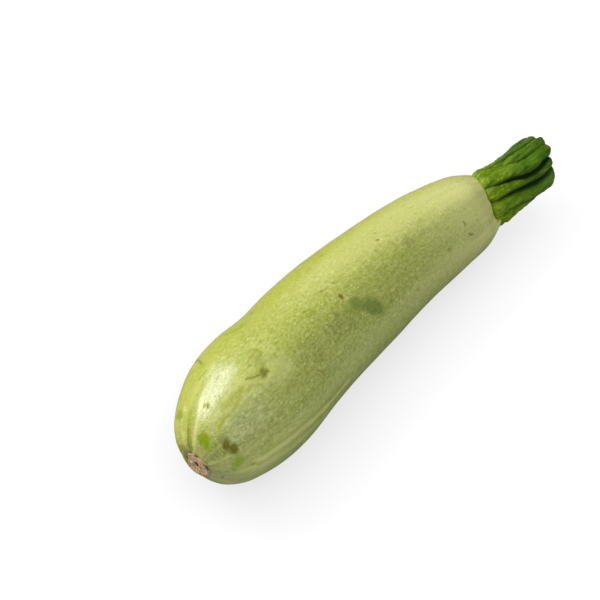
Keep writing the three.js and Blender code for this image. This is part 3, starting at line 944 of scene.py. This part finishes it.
def stalkFlesh():
    material, tree, shader = newMaterial("stalkFlesh")
    finish = stalkFinish
    point = readAttribute(tree, "stalkPoint", "Vector")
    crest = readAttribute(tree, "crest")
    knob = readAttribute(tree, "knob")
    share = readAttribute(tree, "stalkShare")
    clouds = cloudy(tree, point, length=3.5, detail=4.0, contrast=0.6)
    drawn = stretchedPoint(tree, point, (0.3, 1.0, 1.0))
    thin = stretchedPoint(tree, point, (0.12, 1.0, 1.0))
    fibres = cloudy(tree, drawn, length=1.1, detail=3.0, contrast=0.8)
    depth = ramp(tree, crest, 0.35, 0.92)
    green = mixColour(tree, scaled(tree, fibres, 0.5), finish["green"], finish["dark"])
    green = mixColour(tree, scaled(tree, readAttribute(tree, "darkSide"), 0.75), green, finish["dark"])
    green = mixColour(tree, ramp(tree, share, 0.35, 0.9, 0.0, 0.5), green, finish["dark"])
    # painted shade: near black down in the grooves
    colour = mixColour(tree, depth, finish["groove"], green)
    nearFruit = ramp(tree, share, 0.75, 0.0, 0.12, 1.0)
    freshness = times(tree, times(tree, depth, nearFruit), scaled(tree, clouds, 0.8, 0.12))
    colour = mixColour(tree, freshness, colour, finish["fresh"])
    knobTint = times(tree, times(tree, knob, depth), scaled(tree, nearFruit, 0.85))
    colour = mixColour(tree, knobTint, colour, finish["foot"])
    foot = ramp(tree, share, 0.06, 0.0, 0.0, 0.6)
    colour = mixColour(tree, times(tree, foot, clouds), colour, finish["foot"])
    # paler threads and darker pits in the skin
    threads = cloudy(tree, thin, length=0.9, detail=2.0, contrast=0.3)
    pits = cloudy(tree, drawn, length=2.2, detail=3.0, contrast=0.35)
    colour = mixColour(tree, scaled(tree, pits, 0.45), colour, finish["groove"])
    threadMask = times(tree, times(tree, threads, depth), scaled(tree, clouds, 0.5, 0.05))
    colour = mixColour(tree, threadMask, colour, finish["thread"])
    # the cut face: pale flesh, the spots of the vessels and a dry hollow
    face = mixColour(tree, pits, finish["pith"], finish["flesh"])
    face = mixColour(tree, scaled(tree, readAttribute(tree, "vessel"), 0.75), face, finish["vessel"])
    faceRadius = readAttribute(tree, "faceRadius")
    face = mixColour(tree, ramp(tree, faceRadius, 3.0, 1.2, 0.0, 0.85), face, finish["hollow"])
    face = mixColour(tree, ramp(tree, faceRadius, 6.6, 8.0, 0.0, 0.7), face, finish["fresh"])
    colour = mixColour(tree, readAttribute(tree, "cutMask"), colour, face)
    tree.links.new(colour, shader.inputs["Base Color"])
    tree.links.new(scaled(tree, clouds, 0.2, finish["roughness"] - 0.1), shader.inputs["Roughness"])
    shader.inputs["Specular IOR Level"].default_value = 0.1
    grain = cloudy(tree, drawn, length=1.3, detail=3.0, contrast=1.0)
    addBump(tree, shader, grain, finish["bump"])
    return material


buildStalk(stalkFlesh())

print("Shaping the blossom scar")

scar = {
    # (station, radius) from the hole in the middle to the rim's back
    "inner": [(2, 0.45), (1.6, 0.85), (1.15, 1.2), (0.95, 1.7), (0.9, 2.5)],
    "outline": [(0.95, 3.4), (1, 4.1), (1, 4.6), (1.15, 5), (1.5, 5.2), (2, 5.2)],
    "rows": 70,
    "columns": 280,
    "holeShift": (0.5, -0.6),  # off the middle, mm
    "holeFade": (1, 4),  # the radii over which that shift fades
    "smaller": 0.97,
    "ragged": [(0.035, 5, 1), (0.02, 11, 0)],  # share of the radius, number of lobes, start
    "raggedFrom": (3, 5),
    "cracks": {"height": 0.16, "length": 1.3, "seed": 4},
    "swells": {"height": 0.2, "length": 3.2, "seed": 9},
    "curl": {"height": 0.4, "length": 2.4, "seed": 15, "from": (3.6, 4.5), "lowest": -0.2},
    "quiet": {"middle": (0.9, 1.8), "rim": (4.7, 5.1)},  # the radii over which the relief fades
}


def buildScar(material):
    profile = splinePoints(scar["inner"] + scar["outline"], scar["rows"])
    station, angle, radius = ringGrid(profile, scar["columns"])
    flat = np.stack([radius * np.cos(angle), radius * np.sin(angle), 0 * radius], -1)
    ragged = sum(share * np.sin(lobes * angle + start) for share, lobes, start in scar["ragged"])
    wide = radius * (scar["smaller"] + smoothStep(radius, *scar["raggedFrom"]) * ragged)
    cracks = waves(flat, scar["cracks"]["length"], scar["cracks"]["seed"])
    coarse = waves(flat, scar["swells"]["length"], scar["swells"]["seed"])
    beforeRim = 1 - smoothStep(radius, *scar["quiet"]["rim"])
    inside = smoothStep(radius, *scar["quiet"]["middle"]) * beforeRim
    height = inside * (scar["cracks"]["height"] * cracks + scar["swells"]["height"] * coarse)
    curl = scar["curl"]
    curled = smoothStep(radius, *curl["from"]) * beforeRim
    curls = np.maximum(waves(flat, curl["length"], curl["seed"]), curl["lowest"])
    height += curled * curl["height"] * curls
    across = wide * np.cos(angle)
    up = wide * np.sin(angle)
    shift = 1 - smoothStep(radius, *scar["holeFade"])
    across += scar["holeShift"][0] * shift
    up += scar["holeShift"][1] * shift
    points = ontoAxis(station - height, np.arctan2(up, across), np.hypot(across, up)) + offset
    piece = gridMesh("scar_cork", points)
    addAttributes(piece, scarPoint=flat, scarRadius=radius, crack=cracks)
    dress(piece, material, "blossom_scar")


scarFinish = {
    "cork": (0.52, 0.33, 0.17, 1),
    "light": (0.75, 0.53, 0.32, 1),
    "rim": (0.095, 0.055, 0.018, 1),
    "hole": (0.10, 0.045, 0.014, 1),
    "roughness": 0.8,
    "bump": 0.0002,
}


def corkScar():
    material, tree, shader = newMaterial("corkScar")
    finish = scarFinish
    point = readAttribute(tree, "scarPoint", "Vector")
    radius = readAttribute(tree, "scarRadius")
    clouds = cloudy(tree, point, length=1.6, detail=4.0, contrast=0.5)
    colour = mixColour(tree, clouds, finish["cork"], finish["light"])
    crack = ramp(tree, readAttribute(tree, "crack"), -0.2, -1.0, 0.0, 0.6)
    colour = mixColour(tree, crack, colour, finish["rim"])
    broken = cloudy(tree, point, length=3.0, detail=3.0, contrast=0.3)
    edge = times(tree, ramp(tree, radius, 3.9, 4.7), ramp(tree, broken, 0.3, 0.8, 0.15, 0.95))
    colour = mixColour(tree, edge, colour, finish["rim"])
    hole = ramp(tree, radius, 1.4, 0.7)
    colour = mixColour(tree, hole, colour, finish["hole"])
    tree.links.new(colour, shader.inputs["Base Color"])
    shader.inputs["Roughness"].default_value = finish["roughness"]
    shader.inputs["Specular IOR Level"].default_value = 0.25
    grain = cloudy(tree, point, length=0.6, detail=4.0, contrast=1.0)
    addBump(tree, shader, grain, finish["bump"])
    return material


buildScar(corkScar())

print("Laying the surface and setting the lights")

studio = {
    "floorSize": 6.0,
    "floorSeen": {"white": 0.06, "glow": 0.98},  # as the camera sees it
    "floorLit": {"white": 0.27, "glow": 0.16},  # as it lights the courgette
    "contactShadow": {"reach": 0.032, "depth": 0.35},  # a painted contact shadow: the floor's glow darkened where the courgette touches
    "world": (0.90, 0.95, 1.0, 1),
    "horizon": 0.1,
    "zenith": 0.5,
    "skySpan": (0.1, 0.9),  # from the horizon's brightness to the zenith's
    "backdrop": 1.15,  # beyond the floor, as the camera sees it
    # name, direction towards it, distance, width, height, power, colour
    "lights": [
        ("keySoftbox", (-0.164, 0.771, 0.616), 1.3, 0.75, 0.66, 22.5, (0.96, 0.96, 0.99)),
        ("fillSoftbox", (-0.2, -0.75, 0.9), 2.0, 1.8, 1.8, 26, (0.96, 0.97, 1.0)),
    ],
}


def layFloor():
    half = studio["floorSize"] / 2
    mesh = bpy.data.meshes.new("floor")
    corners = [(-half, -half, 0), (half, -half, 0), (half, half, 0), (-half, half, 0)]
    mesh.from_pydata(corners, [], [(0, 1, 2, 3)])
    floor = bpy.data.objects.new("floor", mesh)
    bpy.context.scene.collection.objects.link(floor)
    material, tree, shader = newMaterial("whiteSurface")
    shader.inputs["Roughness"].default_value = 0.8
    shader.inputs["Specular IOR Level"].default_value = 0.1
    shader.inputs["Emission Color"].default_value = (1, 1, 1, 1)
    rays = addNode(tree, "ShaderNodeLightPath").outputs
    seen, lit = studio["floorSeen"], studio["floorLit"]
    white = scaled(tree, rays["Is Camera Ray"], seen["white"] - lit["white"], lit["white"])
    tree.links.new(white, shader.inputs["Base Color"])
    # no sheen of the surface along the courgette's edges
    dull = scaled(tree, rays["Is Glossy Ray"], -lit["glow"], lit["glow"])
    # painted contact shadow: the glow that the camera sees is darkened by ambient occlusion near the
    # courgette
    contactShadow = studio["contactShadow"]
    near = addNode(tree, "ShaderNodeAmbientOcclusion", {"Distance": contactShadow["reach"]}, samples=24)
    deepest = (1 - contactShadow["depth"]) * seen["glow"]
    shade = scaled(tree, near.outputs["AO"], contactShadow["depth"] * seen["glow"], deepest)
    shown = times(tree, rays["Is Camera Ray"], scaled(tree, shade, 1.0, -lit["glow"]))
    tree.links.new(combined(tree, dull, shown, "ADD"), shader.inputs["Emission Strength"])
    mesh.materials.append(material)


def hangLight(name, direction, distance, width, height, power, colour):
    light = bpy.data.lights.new(name, "AREA")
    light.shape = "RECTANGLE"
    light.size = width
    light.size_y = height
    light.energy = power
    light.color = colour
    placeFacing(bpy.data.objects.new(name, light), Vector(), Vector(direction).normalized(), distance)


layFloor()
for lightSettings in studio["lights"]:
    hangLight(*lightSettings)
world = bpy.data.worlds.new("studioWorld")
world.use_nodes = True
sky = world.node_tree
background = sky.nodes["Background"]
background.inputs[0].default_value = studio["world"]
direction = addNode(sky, "ShaderNodeTexCoord").outputs["Generated"]
height = addNode(sky, "ShaderNodeSeparateXYZ", {0: direction}).outputs[2]
strength = ramp(sky, height, *studio["skySpan"], studio["horizon"], studio["zenith"])
seenDirectly = addNode(sky, "ShaderNodeLightPath").outputs["Is Camera Ray"]
backdrop = scaled(sky, seenDirectly, studio["backdrop"])
sky.links.new(combined(sky, strength, backdrop, "MAXIMUM"), background.inputs[1])
bpy.context.scene.world = world
bpy.context.scene.view_settings.view_transform = "Standard"
